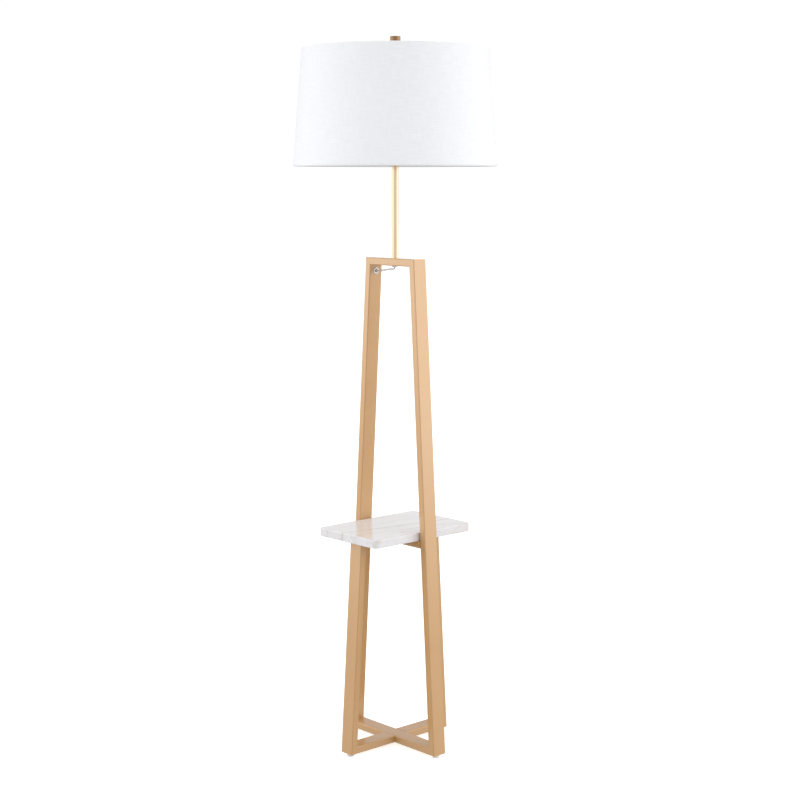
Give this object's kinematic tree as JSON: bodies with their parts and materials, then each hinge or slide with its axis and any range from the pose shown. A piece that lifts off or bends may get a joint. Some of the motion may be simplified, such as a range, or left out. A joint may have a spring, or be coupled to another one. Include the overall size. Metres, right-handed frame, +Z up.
{
  "type": "floor lamp with table",
  "caption": "Free-standing lamp on crossing tube frames, with a marble shelf between its tall legs, a slim pole and a fabric drum shade.",
  "frame": {"origin": "on the floor, at the lamp's axis", "axes": "+Z up along the pole; +X along the shelf's long side and the short frame; +Y along the tall frame, towards the leg that holds the lead"},
  "size_m": [0.432, 0.445, 1.524],
  "materials": {
    "frame_paint": "satin gold paint",
    "glide_nylon": "translucent whitish nylon",
    "steel": "zinc plated",
    "marble": "polished white marble with soft grey veins, opaque",
    "brass": "lacquered brass",
    "pole_plating": "polished pale gold plating",
    "finial_bronze": "satin bronze",
    "lead_plastic": "greyish clear vinyl",
    "grommet_plastic": "white plastic",
    "tie_plastic": "black",
    "liner_fibre": "brown fibre board",
    "socket_phenolic": "black moulded phenolic",
    "bulb_opal_glass": "opal white",
    "shade_wire": "white lacquer",
    "shade_lining": "white styrene",
    "shade_fabric": "fine white linen weave"
  },
  "bodies": {
    "root": {"tall_leg_front": "frame_paint", "tall_leg_back": "frame_paint", "top_bar": "frame_paint", "tall_shelf_rail": "frame_paint", "tall_base_bar": "frame_paint", "short_leg_front": "frame_paint", "short_leg_back": "frame_paint", "short_shelf_rail_front": "frame_paint", "short_shelf_rail_back": "frame_paint", "short_base_bar_front": "frame_paint", "short_base_bar_back": "frame_paint", "glide_tall_front": "glide_nylon", "glide_tall_back": "glide_nylon", "glide_short_front": "glide_nylon", "glide_short_back": "glide_nylon", "glide_screws": "steel", "shelf": "marble", "shelf_inserts": "brass", "shelf_screws": "steel", "pole": "pole_plating", "pole_foot_bush": "brass", "pole_nipple": "steel", "lock_washer": "steel", "lock_nut": "steel", "pole_lead": "lead_plastic", "link_cord": "lead_plastic", "cord_grommet": "grommet_plastic", "leg_lead": "lead_plastic", "strain_relief": "lead_plastic", "mains_cord": "lead_plastic", "cord_hank": "lead_plastic", "cord_tie": "tie_plastic", "mains_plug": "lead_plastic", "plug_blades": "brass", "pole_top_bush": "brass", "socket_nipple": "steel", "harp_saddle": "brass", "harp": "brass", "harp_stud": "brass", "socket_cap": "brass", "socket_shell": "brass", "socket_liner": "liner_fibre", "socket_body": "socket_phenolic", "screw_shell": "brass", "centre_contact": "brass", "bulb_cap": "steel", "bulb_glass": "bulb_opal_glass"},
    "shade": {"spider": "shade_wire", "shade_bottom_ring": "shade_wire", "shade_lining": "shade_lining", "shade_fabric": "shade_fabric"},
    "finial": {"finial": "finial_bronze"},
    "switch": {"switch_stem": "brass", "switch_knob": "socket_phenolic"},
    "sleeve_left": {"harp_sleeve_left": "brass"},
    "sleeve_right": {"harp_sleeve_right": "brass"}
  },
  "joints": [
    {"name": "shade_turn", "type": "hinge", "parent": "root", "child": "shade", "pos_m": [0, 0, 1.4936], "axis": [0, 0, 1], "continuous": true},
    {"name": "finial_turn", "type": "hinge", "parent": "root", "child": "finial", "pos_m": [0, 0, 1.51], "axis": [0, 0, 1], "continuous": true},
    {"name": "switch_turn", "type": "hinge", "parent": "root", "child": "switch", "pos_m": [0, -0.0195, 1.2906], "axis": [0, -1, 0], "continuous": true},
    {"name": "sleeve_left_slide", "type": "slide", "parent": "root", "child": "sleeve_left", "axis": [0, 0, 1], "range_m": [0, 0.0122]},
    {"name": "sleeve_right_slide", "type": "slide", "parent": "root", "child": "sleeve_right", "axis": [0, 0, 1], "range_m": [0, 0.0122]}
  ]
}
